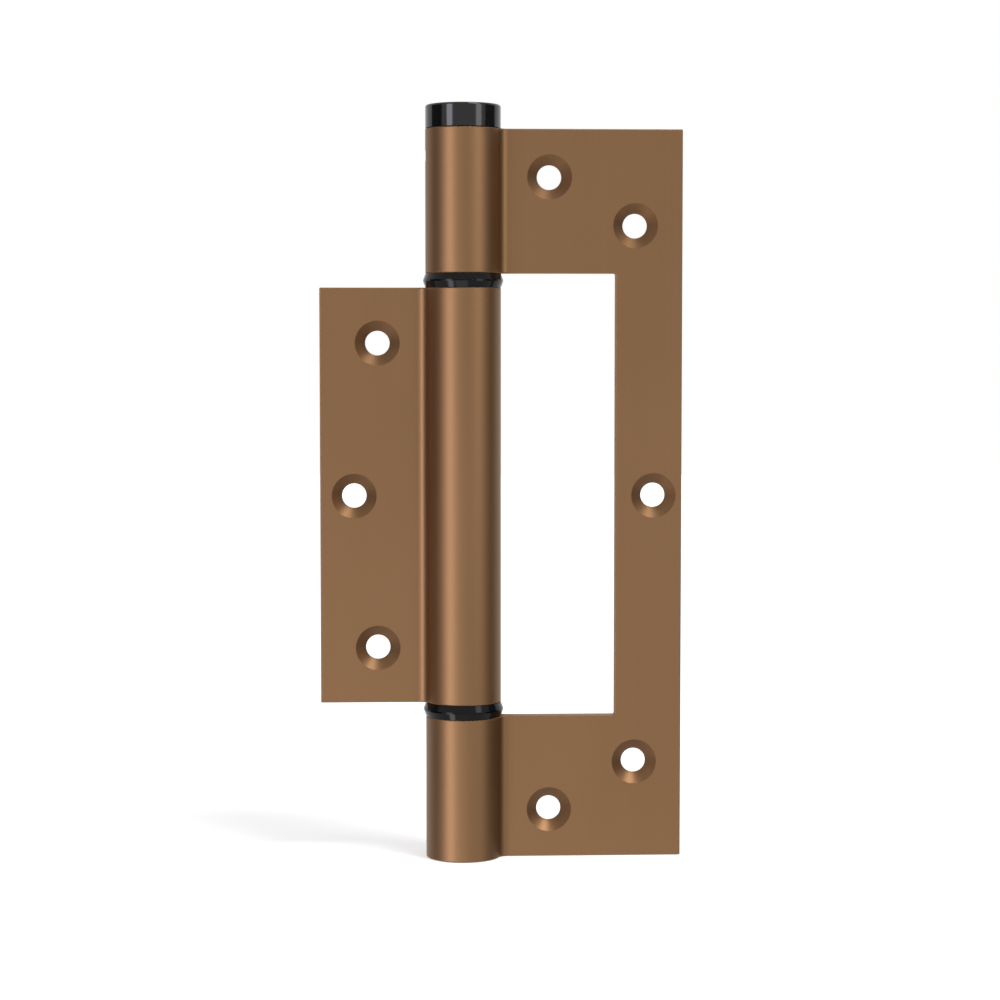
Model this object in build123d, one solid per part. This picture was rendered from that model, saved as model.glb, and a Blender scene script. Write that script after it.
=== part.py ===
from build123d import *
import math
import os

# Single action spring hinge, laid open flat as it is drawn: millimetres, Z up along the
# pivot axis, the frame leaf towards +X, the door leaf towards -X, and the countersunk
# faces towards -Y. The origin is on the pivot axis at the middle of the leaves' height.
# Both leaves are aluminium extrusions. The door leaf nests in the frame leaf's window
# when the hinge shuts, so the two leaves lie in one plane.

# Leaves and knuckles
leaf_length = 155.0  # height of the frame leaf, over both of its knuckles
end_knuckle = 30.4  # length of each knuckle of the frame leaf
knuckle_gap = 3.0  # gap between knuckles, filled by two bush rims
barrel_diameter = 16.0
bore_diameter = 12.0
leaf_thickness = 2.5
door_reach = 30.4  # pivot axis to the door leaf's free edge
nest_gap = 1.9  # door leaf's free edge to the window's edge, when shut
frame_reach = 46.5  # pivot axis to the frame leaf's free edge
root_fillet = 2.3  # extruded fillet where a leaf runs into its barrel
edge_round = 0.25  # broken edges of the leaves
window_corner = 0.4
key_width = 2.4  # keyway that runs along each bore, on the leaf's side
key_depth = 1.0

# Countersunk screw holes
screw_hole = 5.2
countersink = 9.5
countersink_angle = 90.0
frame_near_screw = (18.25, 10.1)  # from the pivot axis, from the leaf's end
frame_far_screw = (10.0, 20.3)  # from the free edge, from the leaf's end
frame_middle_screw = 6.0  # from the free edge
door_near_screw = (18.2, 11.7)  # from the pivot axis, from the leaf's end
door_middle_screw = 7.2  # from the free edge

# Fits, all measured on the radius or on one side
running_fit = 0.05
press_fit = 0.02
key_fit = 0.05
thread_fit = 0.05
face_fit = 0.05  # between faces that turn on or beside each other
free_gap = 0.3  # between parts that must never rub

# Bushes
journal_diameter = 9.8  # neck of either spindle, which the bushes turn on
bush_spigot = 8.0
bush_lead = 0.45  # chamfer that leads a bush into its bore
rim_overhang = 0.5  # how far the ridge of a rim stands out past the barrel
rim_land = 0.15
rim_play = 0.05  # between the two rims that share a gap

# Tension adjuster, its washer, its retaining ring and its locking screw
washer_thickness = 0.8
ring_wire = 1.0
ring_opening = 60.0  # degrees left open in the ring
stem_diameter = 7.8
stem_flat = 0.6  # depth of each of the two flats that drive the cap
key_size = 5.0  # hexagon key, across flats
key_socket_depth = 5.5
detent_count = 8
lock_depth = 5.5  # screw's axis below the top of the knuckle
lock_to_ring = 5.0  # screw's axis down to the middle of the ring
lock_thread = 3.0
lock_dog = 2.0
lock_dog_length = 1.1
lock_travel = 1.0
lock_recess = 0.1  # outer end of the loosened screw, below the barrel's surface
lock_lead = 0.2  # chamfers at the ends of the screw's thread and dog
lock_key_size = 1.5
lock_key_depth = 1.2

# Tension cap
cap_height = 5.0
cap_roof = 1.5
cap_round = 0.5
key_hole_margin = 0.4  # round the corners of the hexagon key

# Pin, lower spindle and cross pin
pin_diameter = 6.0
pin_chamfer = 0.5
pin_roof = 2.0  # solid metal left above the pin in the adjuster's head
spindle_floor = 3.5  # solid metal left below the pin in the lower spindle
spindle_recess = 0.3  # lower spindle's foot above the end of the knuckle
cross_pin_diameter = 2.5

# Torsion spring and its anchor
wire_diameter = 2.0
coil_gap = 0.4  # room for the turn that winding and opening add to the coil
spindle_reach = 5.0  # slotted end of the adjuster, past the upper door bush
anchor_height = 6.0
tang_length = 3.5
tang_bend = 1.2  # radius of the wire's middle line where it bends into a tang
tang_side_gap = 0.15
anchor_floor = 1.5  # solid metal left below the slot in the anchor

# Radii and heights that follow from the sizes above
barrel_radius = barrel_diameter / 2
bore_radius = bore_diameter / 2
journal_radius = journal_diameter / 2
stem_radius = stem_diameter / 2
pin_radius = pin_diameter / 2
keyway_radius = bore_radius + key_depth
window_edge = door_reach + nest_gap
leaf_half = leaf_length / 2
window_half = leaf_half - end_knuckle
door_half = window_half - knuckle_gap
gap_middle = (window_half + door_half) / 2
spigot_end = window_half + bush_spigot
door_spigot_end = door_half - bush_spigot
washer_base = spigot_end + face_fit
head_base = washer_base + washer_thickness + face_fit
lock_height = leaf_half - lock_depth
ring_height = lock_height - lock_to_ring
head_top = ring_height - ring_wire / 2 - face_fit
cap_base = leaf_half + 2 * face_fit
cap_top = leaf_half + cap_height
stem_top = cap_top - cap_roof - face_fit
slot_end = door_spigot_end - spindle_reach
anchor_base = -door_spigot_end + face_fit
anchor_top = anchor_base + anchor_height
slot_width = wire_diameter + 2 * tang_side_gap
detent_floor = stem_radius - lock_travel - 2 * face_fit


def turned(*corners):
    """A piece turned about the pivot axis, from its (radius, height) corners."""
    section = make_face(Polyline(*corners, close=True))
    return revolve(Plane.XZ * section, Axis.Z)


def upright_block(x_low, x_high, width, z_low, z_high):
    """A block that lies centred on the XZ plane."""
    middle = Pos((x_low + x_high) / 2, 0, (z_low + z_high) / 2)
    return middle * Box(x_high - x_low, width, z_high - z_low)


def key_rib(z_low, z_high):
    """The rib that keeps a pressed piece from turning in a leaf's keyway."""
    width = key_width - 2 * key_fit
    return upright_block(bore_radius - key_depth, keyway_radius - key_fit, width, z_low, z_high)


def extrusion(reach, half_height):
    """A length of leaf section: barrel, leaf towards +X, root fillets and keyed bore."""
    leaf = Pos(reach / 2, 0) * Rectangle(reach, leaf_thickness)
    section = Circle(barrel_radius) + leaf
    section = fillet(section.vertices().sort_by(Axis.X)[:2], root_fillet)
    section -= Circle(bore_radius)
    section -= Pos(keyway_radius / 2, 0) * Rectangle(keyway_radius, key_width)
    return Pos(0, 0, -half_height) * extrude(section, 2 * half_height)


def screw_holes(*places):
    """Countersunk holes through a leaf, with their wide ends at the -Y face."""
    front = Plane(origin=(0, -leaf_thickness / 2, 0), x_dir=(1, 0, 0), z_dir=(0, -1, 0))
    sink = CounterSinkHole(
        radius=screw_hole / 2,
        counter_sink_radius=countersink / 2,
        depth=2 * leaf_thickness,
        counter_sink_angle=countersink_angle,
    )
    return [front * Pos(x, z) * sink for x, z in places]


def break_edges(leaf, x_planes):
    """Rounds the outline of each sawn end, and of the upright edges at these x places."""
    ends = leaf.faces().filter_by(Axis.Z)
    outline = [edge for face in ends for edge in face.outer_wire().edges()]
    upright = leaf.edges().filter_by(Axis.Z)
    for x in x_planes:
        outline += upright.filter_by_position(Axis.X, x - edge_round, x + edge_round)
    return fillet(outline, edge_round)


def make_frame_leaf():
    """The wide leaf: two end knuckles round a window that takes the door leaf."""
    leaf = extrusion(frame_reach, leaf_half)
    past_barrel = -2 * barrel_radius
    window = upright_block(past_barrel, window_edge, barrel_diameter * 2, -window_half, window_half)
    window_corners = window.edges().filter_by(Axis.Y).sort_by(Axis.X)[-2:]
    leaf -= fillet(window_corners, window_corner)
    leaf = break_edges(leaf, (frame_reach, window_edge))
    near_x, near_margin = frame_near_screw
    far_margin_x, far_margin = frame_far_screw
    for side in (-1, 1):
        near_place = (near_x, side * (leaf_half - near_margin))
        far_place = (frame_reach - far_margin_x, side * (leaf_half - far_margin))
        leaf -= screw_holes(near_place, far_place)
    leaf -= screw_holes((frame_reach - frame_middle_screw, 0))
    ring_groove = Pos(bore_radius, 0) * Circle(ring_wire / 2 + press_fit)
    leaf -= Pos(0, 0, ring_height) * revolve(Plane.XZ * ring_groove, Axis.Z)
    lock_hole = Cylinder(lock_thread / 2, barrel_radius, align=(Align.CENTER, Align.CENTER, Align.MIN))
    return leaf - Pos(0, 0, lock_height) * Rot(0, -90, 0) * lock_hole


def make_door_leaf():
    """The narrow leaf, on the middle knuckle, which folds into the window."""
    leaf = break_edges(extrusion(door_reach, door_half), (door_reach,))
    leaf = Rot(0, 0, 180) * leaf
    near_x, near_margin = door_near_screw
    for side in (-1, 1):
        leaf -= screw_holes((-near_x, side * (door_half - near_margin)))
    return leaf - screw_holes((door_middle_screw - door_reach, 0))


def make_bush():
    """A moulded bush in its own frame: rim at the middle of the gap, spigot upwards."""
    bore = journal_radius + running_fit
    spigot = bore_radius - press_fit
    rim = barrel_radius + rim_overhang
    rim_base = rim_play / 2
    rim_top = knuckle_gap / 2
    top = rim_top + bush_spigot
    body = turned(
        (bore, rim_base),
        (rim, rim_base),
        (rim, rim_base + rim_land),
        (barrel_radius, rim_top),
        (spigot, rim_top),
        (spigot, top - bush_lead),
        (spigot - bush_lead, top),
        (bore, top),
    )
    rib = key_rib(rim_top, top - 2 * bush_lead)
    return body + (rib - turned((0, 0), (bore, 0), (bore, top), (0, top)))


def make_adjuster():
    """The turned spindle that winds the spring, from its hexagon socket to its slots."""
    head = bore_radius - running_fit
    bore = pin_radius + running_fit
    pin_end = head_top - pin_roof + face_fit
    body = turned(
        (bore, slot_end),
        (journal_radius, slot_end),
        (journal_radius, head_base),
        (head, head_base),
        (head, head_top),
        (stem_radius, head_top),
        (stem_radius, stem_top),
        (0, stem_top),
        (0, pin_end),
        (bore, pin_end),
    )
    slot_depth = tang_length + free_gap
    for turn in (0, 90):
        slot = upright_block(-bore_radius, bore_radius, slot_width, slot_end, slot_end + slot_depth)
        body -= Rot(0, 0, turn) * slot
    flat_height = stem_top - cap_base
    for side in (-1, 1):
        flat = Box(stem_diameter, stem_flat, flat_height)
        body -= Pos(0, side * (stem_radius - stem_flat / 2), cap_base + flat_height / 2) * flat
    socket = extrude(RegularPolygon(key_size / 2, 6, major_radius=False, rotation=0), key_socket_depth)
    body -= Pos(0, 0, stem_top - key_socket_depth) * socket
    detent = Cylinder(lock_dog / 2 + 2 * thread_fit, stem_radius, align=(Align.CENTER, Align.CENTER, Align.MIN))
    for step in range(detent_count):
        aim = Rot(0, 0, 360 * step / detent_count) * Rot(0, -90, 0)
        body -= Pos(0, 0, lock_height) * aim * Pos(0, 0, detent_floor) * detent
    return body


def make_washer():
    """The steel washer that the adjuster's head turns on."""
    inner = journal_radius + 2 * running_fit
    outer = bore_radius - 2 * running_fit
    top = washer_base + washer_thickness
    return turned((inner, washer_base), (outer, washer_base), (outer, top), (inner, top))


def make_ring():
    """The open spring-wire ring that keeps the adjuster in the knuckle."""
    section = Plane.XZ * Pos(bore_radius, ring_height) * Circle(ring_wire / 2)
    ring = revolve(section, Axis.Z, revolution_arc=360 - ring_opening)
    return Rot(0, 0, ring_opening / 2) * ring


def make_lock_screw():
    """The dog-point set screw, backed out so that its dog clears the adjuster."""
    thread = lock_thread / 2 - thread_fit
    dog = lock_dog / 2
    tip = stem_radius + 2 * face_fit
    shoulder = tip + lock_dog_length
    outer = barrel_radius - lock_recess
    screw = turned(
        (0, tip),
        (dog - lock_lead, tip),
        (dog, tip + lock_lead),
        (dog, shoulder),
        (thread - lock_lead, shoulder),
        (thread, shoulder + lock_lead),
        (thread, outer - lock_lead),
        (thread - lock_lead, outer),
        (0, outer),
    )
    socket = extrude(RegularPolygon(lock_key_size / 2, 6, major_radius=False), lock_key_depth)
    screw -= Pos(0, 0, outer - lock_key_depth) * socket
    return Pos(0, 0, lock_height) * Rot(0, -90, 0) * screw


def make_cap():
    """The moulded cap, pressed on the adjuster's two flats, with a hole for the key."""
    pocket = stem_radius + press_fit
    pocket_top = stem_top + face_fit
    key_hole = key_size / math.sqrt(3) + key_hole_margin
    body = turned(
        (key_hole, cap_base),
        (barrel_radius, cap_base),
        (barrel_radius, cap_top),
        (key_hole, cap_top),
    )
    top_edges = body.faces().sort_by(Axis.Z)[-1].outer_wire().edges()
    body = fillet(top_edges, cap_round)
    flats = 2 * (stem_radius - stem_flat + press_fit)
    height = pocket_top - cap_base
    stem_form = Cylinder(pocket, height) & Box(stem_diameter * 2, flats, height)
    return body - Pos(0, 0, cap_base + height / 2) * stem_form


def make_pin():
    """The steel pin through the whole hinge, which the spring is threaded on."""
    low = spindle_floor - leaf_half
    high = head_top - pin_roof
    pin = turned(
        (0, low),
        (pin_radius - pin_chamfer, low),
        (pin_radius, low + pin_chamfer),
        (pin_radius, high - pin_chamfer),
        (pin_radius - pin_chamfer, high),
        (0, high),
    )
    return pin - cross_pin_hole()


def cross_pin_place():
    """The middle of the lower spindle's body, where the cross pin goes through."""
    return Pos(0, 0, -(spigot_end + leaf_half) / 2) * Rot(90, 0, 0)


def cross_pin_hole():
    """The drilled hole for the cross pin, through the lower spindle and the hinge pin."""
    return cross_pin_place() * Cylinder(cross_pin_diameter / 2 + press_fit, 2 * bore_diameter)


def make_cross_pin():
    """The pin that locks the hinge pin in the lower spindle."""
    return cross_pin_place() * Cylinder(cross_pin_diameter / 2, bore_diameter - 2 * free_gap)


def make_lower_spindle():
    """The keyed spindle pressed in the bottom knuckle, with a neck for the lower bushes."""
    body = bore_radius - press_fit
    bore = pin_radius + press_fit
    foot = spindle_recess - leaf_half
    shoulder = -spigot_end - face_fit
    neck_top = -door_spigot_end - free_gap
    bore_end = spindle_floor - leaf_half - face_fit
    lead = edge_round
    spindle = turned(
        (0, foot),
        (body - lead, foot),
        (body, foot + lead),
        (body, shoulder),
        (journal_radius, shoulder),
        (journal_radius, neck_top),
        (bore, neck_top),
        (bore, bore_end),
        (0, bore_end),
    )
    spindle += key_rib(foot + lead, shoulder - lead)
    core = turned((0, bore_end), (bore, bore_end), (bore, neck_top), (0, neck_top))
    return spindle - core - cross_pin_hole()


def make_anchor():
    """The keyed block in the middle knuckle that holds the lower end of the spring."""
    outer = bore_radius - press_fit
    bore = pin_radius + free_gap
    anchor = turned((bore, anchor_base), (outer, anchor_base), (outer, anchor_top), (bore, anchor_top))
    rib = Rot(0, 0, 180) * key_rib(anchor_base, anchor_top)
    core = turned((0, anchor_base), (bore, anchor_base), (bore, anchor_top), (0, anchor_top))
    slot = upright_block(0, bore_radius, slot_width, anchor_base + anchor_floor, anchor_top)
    return anchor + rib - core - slot


def bent_end(point, leaving, upright):
    """The bend from the coil's end to a tang, and the tang, as lines to sweep along."""
    inward = (upright - leaving * upright.dot(leaving)).normalized()
    level = (leaving - upright * leaving.dot(upright)).normalized()
    bend_end = point + (inward + level) * tang_bend
    tang_end = bend_end + upright * tang_length
    return [TangentArc(point, bend_end, tangent=leaving), Line(bend_end, tang_end)]


def make_spring():
    """The torsion spring: a right-hand helix with a bent tang at each end."""
    wire = wire_diameter / 2
    coil_radius = bore_radius - free_gap - wire
    low = anchor_top + free_gap + wire
    height = slot_end - free_gap - wire - low
    lead_angle = math.atan(tang_bend / coil_radius)
    turns = int(height / (wire_diameter + coil_gap)) - lead_angle / math.pi
    coil = Helix(height / turns, height, coil_radius, center=(0, 0, low))
    path = bent_end(coil @ 1, coil % 1, Vector(0, 0, 1))
    path += bent_end(coil @ 0, -(coil % 0), Vector(0, 0, -1))
    path = Wire([coil, *path])
    section = Plane(origin=path @ 0, z_dir=path % 0) * Circle(wire)
    return Rot(0, 0, math.degrees(lead_angle)) * sweep(section, path=path)


bush = make_bush()
pieces = {
    "frame_leaf": make_frame_leaf(),
    "door_leaf": make_door_leaf(),
    "upper_frame_bush": Pos(0, 0, gap_middle) * bush,
    "upper_door_bush": Pos(0, 0, gap_middle) * Rot(0, 180, 0) * bush,
    "lower_door_bush": Pos(0, 0, -gap_middle) * Rot(0, 0, 180) * bush,
    "lower_frame_bush": Pos(0, 0, -gap_middle) * Rot(180, 0, 0) * bush,
    "tension_adjuster": make_adjuster(),
    "tension_cap": make_cap(),
    "thrust_washer": make_washer(),
    "retaining_ring": make_ring(),
    "lock_screw": make_lock_screw(),
    "hinge_pin": make_pin(),
    "lower_spindle": make_lower_spindle(),
    "cross_pin": make_cross_pin(),
    "spring_anchor": make_anchor(),
    "torsion_spring": make_spring(),
}

os.makedirs("parts", exist_ok=True)
for name, piece in pieces.items():
    export_step(piece, f"parts/{name}.step")
    print(name, f"{piece.volume:.1f} cubic mm")
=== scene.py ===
from math import radians

import bpy
from mathutils import Matrix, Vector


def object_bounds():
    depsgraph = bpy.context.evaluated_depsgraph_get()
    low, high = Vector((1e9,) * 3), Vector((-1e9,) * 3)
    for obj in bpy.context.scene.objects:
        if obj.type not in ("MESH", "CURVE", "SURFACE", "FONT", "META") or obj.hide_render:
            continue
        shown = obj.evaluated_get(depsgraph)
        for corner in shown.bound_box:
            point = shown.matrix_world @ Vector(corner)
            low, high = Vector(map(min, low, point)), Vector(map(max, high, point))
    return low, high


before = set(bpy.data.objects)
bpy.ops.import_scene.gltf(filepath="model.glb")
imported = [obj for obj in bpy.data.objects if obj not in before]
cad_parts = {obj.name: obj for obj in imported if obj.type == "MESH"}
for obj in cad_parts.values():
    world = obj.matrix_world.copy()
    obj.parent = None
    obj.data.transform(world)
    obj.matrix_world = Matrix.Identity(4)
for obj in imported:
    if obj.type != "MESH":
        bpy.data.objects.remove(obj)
cad_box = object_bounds()


# The two leaves are aluminium extrusions, cut to length, drilled and countersunk, then
# anodised a satin bronze. The die leaves faint lines along them, handling leaves a cloudy
# shine, and the ends of the barrel are rubbed duller where the bushes and the cap turn.


class Wire:
    """A socket in a node tree. Maths on wires adds its own Math nodes."""

    def __init__(self, tree, socket=None):
        self.tree, self.socket = tree, socket

    def node(self, kind, settings, sockets, output=0):
        """Add one node: its settings first, then the numbers or wires of its sockets."""
        made = self.tree.nodes.new("ShaderNode" + kind)
        for name, value in settings.items():
            setattr(made, name, value)
        for name, value in sockets.items():
            if isinstance(value, Wire):
                self.tree.links.new(value.socket, made.inputs[name])
            else:
                made.inputs[name].default_value = value
        return Wire(self.tree, made.outputs[output])

    def beside(self, output):
        """Another output of the same node."""
        return Wire(self.tree, self.socket.node.outputs[output])

    def maths(self, operation, *values):
        return self.node("Math", {"operation": operation}, dict(enumerate(values)))

    def __add__(self, other):
        return self.maths("ADD", self, other)

    def __mul__(self, other):
        return self.maths("MULTIPLY", self, other)

    def __gt__(self, other):
        return self.maths("GREATER_THAN", self, other)

    def __abs__(self):
        return self.maths("ABSOLUTE", self)

    __radd__, __rmul__ = __add__, __mul__


def socket_name(words):
    return words.replace("_", " ").title().replace("Ior", "IOR")


def finish_named(name, metallic, **surface):
    """A new material: the material, the start of its wires, its Principled shader."""
    material = bpy.data.materials.new(name)
    material.use_nodes = True
    shader = material.node_tree.nodes["Principled BSDF"]
    shader.inputs["Metallic"].default_value = metallic
    for socket, value in surface.items():
        shader.inputs[socket_name(socket)].default_value = value
    return material, Wire(material.node_tree), shader


def object_place(wires):
    """The point of the surface, in metres from the object's origin."""
    return wires.node("TexCoord", {}, {}, "Object")


def length(wires, vector):
    return wires.node("VectorMath", {"operation": "LENGTH"}, {0: vector}, "Value")


def noise(wires, cells):
    """Noise from 0 to 1, with that many cells per metre along X, Y and Z."""
    place = wires.node("Mapping", {}, {"Vector": object_place(wires), "Scale": cells})
    return wires.node("TexNoise", {}, {"Vector": place, "Scale": 1.0, "Detail": 2.0})


def mixed(wires, share, low, high):
    """The colour between low and high at that share."""
    return wires.node("Mix", {"data_type": "RGBA"}, {0: share, 6: low, 7: high}, 2)


def bumped(wires, height, depth):
    """A Normal for a relief that is `depth` metres deep."""
    return wires.node("Bump", {}, {"Height": height, "Strength": 1.0, "Distance": depth})


def join(wires, shader, **links):
    for socket, wire in links.items():
        wires.tree.links.new(wire.socket, shader.inputs[socket_name(socket)])


def cover(material, *nodes):
    """Give the material to those CAD nodes."""
    for name in nodes:
        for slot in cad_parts[name].material_slots:
            slot.material = material


BRONZE_LOW = (0.173, 0.095, 0.0457, 1.0)
BRONZE_HIGH = (0.199, 0.111, 0.0560, 1.0)
CLOUD_CELLS = (35.0, 35.0, 20.0)
DIE_LINE_CELLS = (2600.0, 2600.0, 9.0)
DIE_LINE_DEPTH = 0.0000015
ACROSS_PIVOT = (1.0, 1.0, 0.0)
RUB_FULL = 0.009  # distance from the pivot's axis, which is Z
RUB_END = 0.013
RUB_TILT = 0.1  # a surface that faces up or down by more than this is an end
RUB_DULLING = 0.2

bronze, wires, shader = finish_named("satin_bronze", 1.0)
cloud = noise(wires, CLOUD_CELLS)
lines = noise(wires, DIE_LINE_CELLS)
level = wires.node(
    "VectorMath", {"operation": "MULTIPLY"}, {0: object_place(wires), 1: ACROSS_PIVOT}
)
near = wires.node(
    "MapRange",
    {},
    {"Value": length(wires, level), "From Min": RUB_END, "From Max": RUB_FULL},
)
facing = wires.node("NewGeometry", {}, {}, "Normal")
tilt = wires.node("SeparateXYZ", {}, {0: facing}, "Z")
rubbed = near * (abs(tilt) > RUB_TILT)
join(
    wires,
    shader,
    base_color=mixed(wires, 0.7 * cloud + 0.3 * lines, BRONZE_LOW, BRONZE_HIGH),
    roughness=0.41 + 0.05 * cloud + 0.03 * lines + RUB_DULLING * rubbed,
    normal=bumped(wires, lines, DIE_LINE_DEPTH),
)
cover(bronze, "frame_leaf", "door_leaf")


# Four moulded bushes keep the leaves apart and carry them on the spindles. They are a
# hard black nylon, and only their rims show, meeting in a sharp ridge in each gap.

BUSH_BLACK = (0.0006, 0.0006, 0.0007, 1.0)
BUSH_WORN = (0.0018, 0.0018, 0.0019, 1.0)
GRAIN_CELLS = (1800.0, 1800.0, 1800.0)
FINE_DEPTH = 0.000002

bush_nylon, wires, shader = finish_named("bush_nylon", 0.0, specular_ior_level=0.175)
grain = noise(wires, GRAIN_CELLS)
join(
    wires,
    shader,
    base_color=mixed(wires, grain, BUSH_BLACK, BUSH_WORN),
    roughness=0.09 + 0.08 * grain,
    normal=bumped(wires, grain, FINE_DEPTH),
)
cover(
    bush_nylon,
    "upper_frame_bush",
    "upper_door_bush",
    "lower_door_bush",
    "lower_frame_bush",
)


# The tension adjuster, the lower spindle, the hinge pin with its cross pin, the thrust
# washer and the spring's anchor are turned from free-cutting steel and zinc plated. The
# tool leaves fine rings round the axis.

ZINC_LOW = (0.40, 0.41, 0.42, 1.0)
ZINC_HIGH = (0.55, 0.56, 0.57, 1.0)
BLOOM_CELLS = (240.0, 240.0, 240.0)
RING_CELLS = (12.0, 12.0, 6500.0)

zinc, wires, shader = finish_named("turned_zinc", 1.0)
bloom = noise(wires, BLOOM_CELLS)
rings = noise(wires, RING_CELLS)
join(
    wires,
    shader,
    base_color=mixed(wires, bloom, ZINC_LOW, ZINC_HIGH),
    roughness=0.24 + 0.10 * bloom + 0.08 * rings,
    normal=bumped(wires, rings, FINE_DEPTH),
)
cover(
    zinc,
    "tension_adjuster",
    "thrust_washer",
    "lower_spindle",
    "spring_anchor",
    "hinge_pin",
    "cross_pin",
)


# The locking screw is a small set screw, hardened and blackened in an oil bath. Its
# finish is near black, with a brown cast where the oil has dried.

OXIDE_LOW = (0.010, 0.010, 0.011, 1.0)
OXIDE_HIGH = (0.030, 0.026, 0.022, 1.0)
STAIN_CELLS = (900.0, 900.0, 900.0)

oxide, wires, shader = finish_named("black_oxide", 1.0)
stain = noise(wires, STAIN_CELLS)
join(
    wires,
    shader,
    base_color=mixed(wires, stain, OXIDE_LOW, OXIDE_HIGH),
    roughness=0.30 + 0.15 * stain,
    normal=bumped(wires, stain, FINE_DEPTH),
)
cover(oxide, "lock_screw")


# The torsion spring and the retaining ring are drawn spring wire, left with the grey of
# its heat treatment and a film of oil, which lies unevenly along the wire.

TEMPER_LOW = (0.060, 0.058, 0.058, 1.0)
TEMPER_HIGH = (0.150, 0.140, 0.130, 1.0)
TEMPER_CELLS = (300.0, 300.0, 900.0)

tempered, wires, shader = finish_named("tempered_wire", 1.0)
temper = noise(wires, TEMPER_CELLS)
join(
    wires,
    shader,
    base_color=mixed(wires, temper, TEMPER_LOW, TEMPER_HIGH),
    roughness=0.28 + 0.12 * temper,
    normal=bumped(wires, temper, FINE_DEPTH),
)
cover(tempered, "torsion_spring", "retaining_ring")


# The cap is moulded in black acetal with a polished outside. It turns with the adjuster
# and closes the top of the barrel over the locking screw's ring of detents.

CAP_BLACK = (0.0008, 0.0009, 0.0012, 1.0)
CAP_HAZE = (0.0024, 0.0025, 0.0030, 1.0)
HAZE_CELLS = (160.0, 160.0, 160.0)

cap_acetal, wires, shader = finish_named("cap_acetal", 0.0, specular_ior_level=0.40)
haze = noise(wires, HAZE_CELLS)
join(
    wires,
    shader,
    base_color=mixed(wires, haze, CAP_BLACK, CAP_HAZE),
    roughness=0.09 + 0.04 * haze,
    normal=bumped(wires, haze, FINE_DEPTH),
)
cover(cap_acetal, "tension_cap")


# The hinge stands on its lower end on a white table, in a white room that lights it at a
# plain level. The table keeps a faint shadow, and is clear when it is seen from below.

ROOM_WHITE = (1.0, 1.0, 1.0, 1.0)
ROOM_LEVEL = 0.55  # how strongly it lights; where it is seen or mirrored it is 1
TABLE_SIZE = 3.0
TABLE_DROP = 0.0001
TABLE_WHITE = (0.80, 0.80, 0.80, 1.0)
TABLE_GLOW = 0.44
FAR_GLOW = 0.30  # more glow for each metre from the hinge

world = bpy.data.worlds.new("white_room")
world.use_nodes = True
bpy.context.scene.world = world
room = Wire(world.node_tree)
ray = room.node("LightPath", {}, {}, "Is Camera Ray")
seen = ray + ray.beside("Is Glossy Ray") + ray.beside("Is Transmission Ray")
strength = ROOM_LEVEL + (1.0 - ROOM_LEVEL) * seen
backdrop = world.node_tree.nodes["Background"]
backdrop.inputs["Color"].default_value = ROOM_WHITE
world.node_tree.links.new(strength.socket, backdrop.inputs["Strength"])

bpy.ops.mesh.primitive_plane_add(
    size=TABLE_SIZE, location=(0.0, 0.0, cad_box[0].z - TABLE_DROP)
)
table = bpy.context.object
table.name = "table_top"
table_white, wires, shader = finish_named(
    "table_white", 0.0, roughness=1.0, specular_ior_level=0.0, emission_strength=1.0
)
shader.inputs["Base Color"].default_value = TABLE_WHITE
distance = length(wires, object_place(wires))
ray = wires.node("LightPath", {}, {}, "Is Camera Ray")
join(wires, shader, emission_color=(TABLE_GLOW + FAR_GLOW * distance) * ray)
below = wires.node("NewGeometry", {}, {}, "Backfacing")
clear = wires.node("BsdfTransparent", {}, {})
white = Wire(wires.tree, shader.outputs["BSDF"])
both = wires.node("MixShader", {}, {"Fac": below, 1: white, 2: clear})
output = wires.tree.nodes["Material Output"]
wires.tree.links.new(both.socket, output.inputs["Surface"])
table.data.materials.append(table_white)
table.visible_glossy = False
table.visible_shadow = False


# Two tall soft boxes stand in front, a strong one to the left and a weaker one to the
# right. One lamp hangs overhead, and a faint one fills in from low in front. Dark cards
# at both sides, out of the camera's sight, give the barrel its edges.

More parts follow.
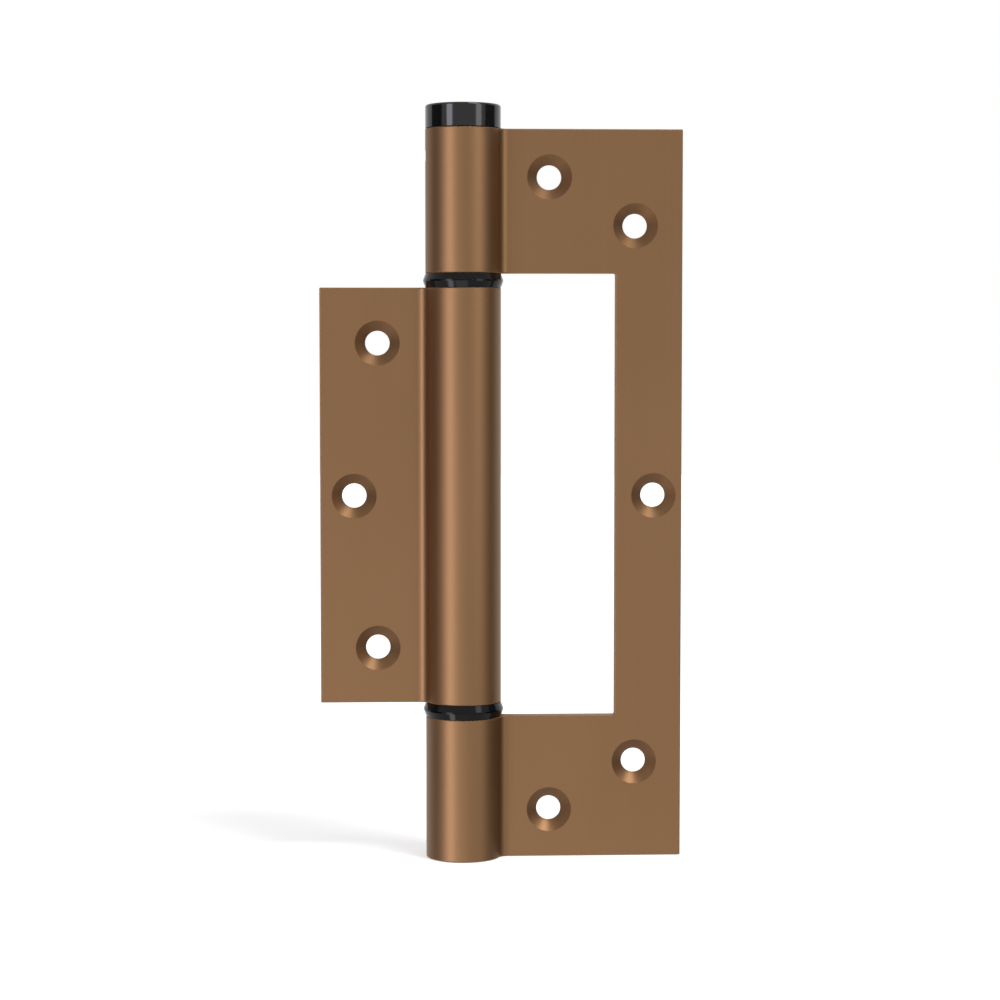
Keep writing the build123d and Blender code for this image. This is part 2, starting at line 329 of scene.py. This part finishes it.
SOFT_BOX_DISTANCE = 1.1
SOFT_BOXES = (  # azimuth in degrees, heights of foot and head, width, colour, watts
    ("left_soft_box", -43.0, (-1.5, 0.45), 0.34, (1.0, 0.97, 1.10), 10.5),
    ("right_soft_box", 47.0, (0.02, 0.70), 0.34, (1.0, 1.0, 1.0), 2.3),
)
SMALL_LAMPS = (  # place, tilt in degrees, size, watts
    ("overhead_lamp", (0.44, -0.44, 1.0), -20.0, 0.45, 11.5),
    ("low_fill_lamp", (-0.10, -0.90, -0.60), 124.0, 0.60, 1.5),
)
CARD_SIZE = 1.0
CARD_GREY = (0.10, 0.10, 0.10, 1.0)
CARD_ROUGHNESS = 0.9
CARDS = (("left_card", -1.3), ("right_card", 1.3))
UPRIGHT = radians(90.0)


def lamp_named(name, **light_settings):
    """A new area lamp that the camera doesn't see."""
    light = bpy.data.lights.new(name, "AREA")
    for setting, value in light_settings.items():
        setattr(light, setting, value)
    lamp = bpy.data.objects.new(name, light)
    bpy.context.scene.collection.objects.link(lamp)
    lamp.visible_camera = False
    return lamp


for name, azimuth, (foot, head), width, colour, power in SOFT_BOXES:
    lamp = lamp_named(
        name,
        shape="RECTANGLE",
        size=width,
        size_y=head - foot,
        color=colour,
        energy=power,
    )
    lamp.matrix_world = (
        Matrix.Rotation(radians(azimuth), 4, "Z")
        @ Matrix.Translation((0.0, -SOFT_BOX_DISTANCE, (foot + head) / 2))
        @ Matrix.Rotation(UPRIGHT, 4, "X")
    )

for name, place, tilt, size, power in SMALL_LAMPS:
    lamp = lamp_named(name, size=size, energy=power)
    lamp.location = place
    lamp.rotation_euler = (radians(tilt), 0.0, 0.0)

card_grey, wires, shader = finish_named("card_grey", 0.0, roughness=CARD_ROUGHNESS)
shader.inputs["Base Color"].default_value = CARD_GREY
for name, side in CARDS:
    bpy.ops.mesh.primitive_plane_add(size=CARD_SIZE, location=(side, 0.0, 0.0))
    card = bpy.context.object
    card.name = name
    card.rotation_euler = (0.0, UPRIGHT, 0.0)
    card.data.materials.append(card_grey)
    card.visible_camera = False
    card.visible_shadow = False


# The camera stands in front and a little above, turned slightly towards the frame leaf.
# Its place was fitted to the hinge's outline with the real sizes held.

CAMERA_PLACE = (-0.01505, -0.5254, 0.03288)
CAMERA_TURN = 2.492
CAMERA_DIP = 3.684
LENS = 88.99

camera = bpy.data.objects.new("camera", bpy.data.cameras.new("camera"))
bpy.context.scene.collection.objects.link(camera)
camera.location = CAMERA_PLACE
camera.rotation_euler = (radians(90.0 - CAMERA_DIP), 0.0, -radians(CAMERA_TURN))
camera.data.lens = LENS
bpy.context.scene.camera = camera
bpy.context.scene.view_settings.view_transform = "Standard"
